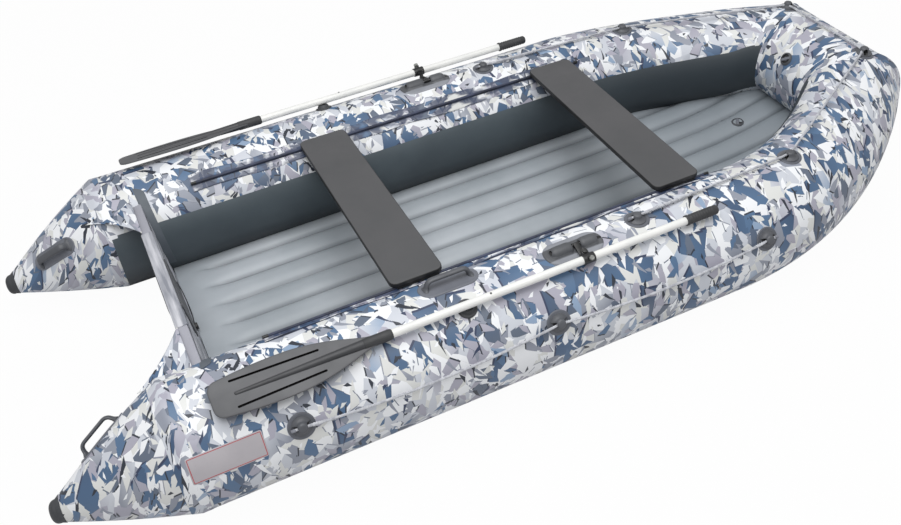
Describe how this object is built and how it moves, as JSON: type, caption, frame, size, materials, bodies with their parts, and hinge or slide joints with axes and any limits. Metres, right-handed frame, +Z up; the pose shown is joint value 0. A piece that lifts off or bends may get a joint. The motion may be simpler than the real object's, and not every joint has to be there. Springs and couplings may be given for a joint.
{
  "type": "inflatable boat",
  "caption": "Inflatable rowing and motor boat with a U-shaped buoyancy tube, inflated floor, transom, seat boards on rails and stowed oars in swinging oarlocks.",
  "frame": {"origin": "on the floor under the middle of the boat's overall length and beam", "axes": "+X towards the bow, +Y to port, +Z up"},
  "size_m": [3.5531, 1.6118, 0.5376],
  "materials": {
    "camo_pvc": "coated fabric with an angular white, grey and blue camouflage print",
    "floor_pvc": "coated fabric, light grey",
    "dark_pvc": "coated fabric, dark slate grey",
    "dark_rubber": "matt",
    "grey_rubber": "satin",
    "transom_wood": "grey coated plywood",
    "seat_wood": "dark grey painted plywood with black edges",
    "light_trim": "satin",
    "grey_plastic": "moulded, fine grain",
    "black_plastic": "moulded",
    "clear_knob": "smoky",
    "white_shaft": "white powder coat",
    "steel": "stainless",
    "rope": "braided"
  },
  "bodies": {
    "hull": {"badge_plates": "light_trim", "bow_eyelets": "grey_rubber", "bow_lifeline": "rope", "bow_tube": "camo_pvc", "bow_valve": "grey_plastic", "carry_handle": "grey_rubber", "cone_caps": "dark_rubber", "drain_flap": "black_plastic", "drain_plug": "black_plastic", "floor_valve": "grey_plastic", "inflatable_floor": "floor_pvc", "keel_strip": "dark_pvc", "motor_pad_inner": "grey_plastic", "motor_pad_outer": "grey_plastic", "oar_rests": "dark_rubber", "oarlock_base_port": "grey_rubber", "oarlock_base_starboard": "grey_rubber", "oarlock_pin_port": "steel", "oarlock_pin_starboard": "steel", "seat_rails": "camo_pvc", "side_eyelets": "grey_rubber", "side_lifelines": "rope", "side_tube_port": "camo_pvc", "side_tube_starboard": "camo_pvc", "stern_handles": "grey_rubber", "tow_patch": "grey_rubber", "tow_ring": "steel", "transom_bands": "dark_pvc", "transom_board": "transom_wood", "transom_gussets": "camo_pvc", "transom_trim": "light_trim"},
    "seat_aft": {"seat_board_aft": "seat_wood", "seat_clips_aft": "black_plastic"},
    "seat_forward": {"seat_board_forward": "seat_wood", "seat_clips_forward": "black_plastic"},
    "oarlock_arm_port": {"oarlock_yoke_port": "black_plastic"},
    "oar_port": {"oar_clamp_port": "black_plastic", "oar_shaft_port": "white_shaft", "oar_socket_port": "black_plastic", "oar_grip_port": "black_plastic", "oar_blade_port": "grey_plastic"},
    "knob_port": {"clamp_knob_port": "clear_knob"},
    "oarlock_arm_starboard": {"oarlock_yoke_starboard": "black_plastic"},
    "oar_starboard": {"oar_clamp_starboard": "black_plastic", "oar_shaft_starboard": "white_shaft", "oar_socket_starboard": "black_plastic", "oar_grip_starboard": "black_plastic", "oar_blade_starboard": "grey_plastic"},
    "knob_starboard": {"clamp_knob_starboard": "clear_knob"}
  },
  "joints": [
    {"name": "seat_aft_slide", "type": "slide", "parent": "hull", "child": "seat_aft", "axis": [1, 0, 0], "range_m": [-0.4, 0.3]},
    {"name": "seat_forward_slide", "type": "slide", "parent": "hull", "child": "seat_forward", "axis": [1, 0, 0], "range_m": [-0.35, 0.04]},
    {"name": "oar_port_lift", "type": "hinge", "parent": "hull", "child": "oarlock_arm_port", "pos_m": [0.045, 0.6, 0.45], "axis": [1, 0, 0], "range_deg": [0, 15]},
    {"name": "oar_port_swing", "type": "hinge", "parent": "oarlock_arm_port", "child": "oar_port", "pos_m": [0.045, 0.65663, 0.46124], "axis": [0, -0.342, -0.9397], "range_deg": [0, 100]},
    {"name": "knob_port_turn", "type": "hinge", "parent": "oar_port", "child": "knob_port", "pos_m": [0.045, 0.682, 0.452], "axis": [0, 0.7431, 0.6691], "continuous": true},
    {"name": "oar_starboard_lift", "type": "hinge", "parent": "hull", "child": "oarlock_arm_starboard", "pos_m": [0.045, -0.6, 0.45], "axis": [-1, 0, 0], "range_deg": [0, 15]},
    {"name": "oar_starboard_swing", "type": "hinge", "parent": "oarlock_arm_starboard", "child": "oar_starboard", "pos_m": [0.045, -0.65663, 0.46124], "axis": [0, -0.342, 0.9397], "range_deg": [0, 100]},
    {"name": "knob_starboard_turn", "type": "hinge", "parent": "oar_starboard", "child": "knob_starboard", "pos_m": [0.045, -0.682, 0.452], "axis": [0, -0.7431, 0.6691], "continuous": true}
  ]
}
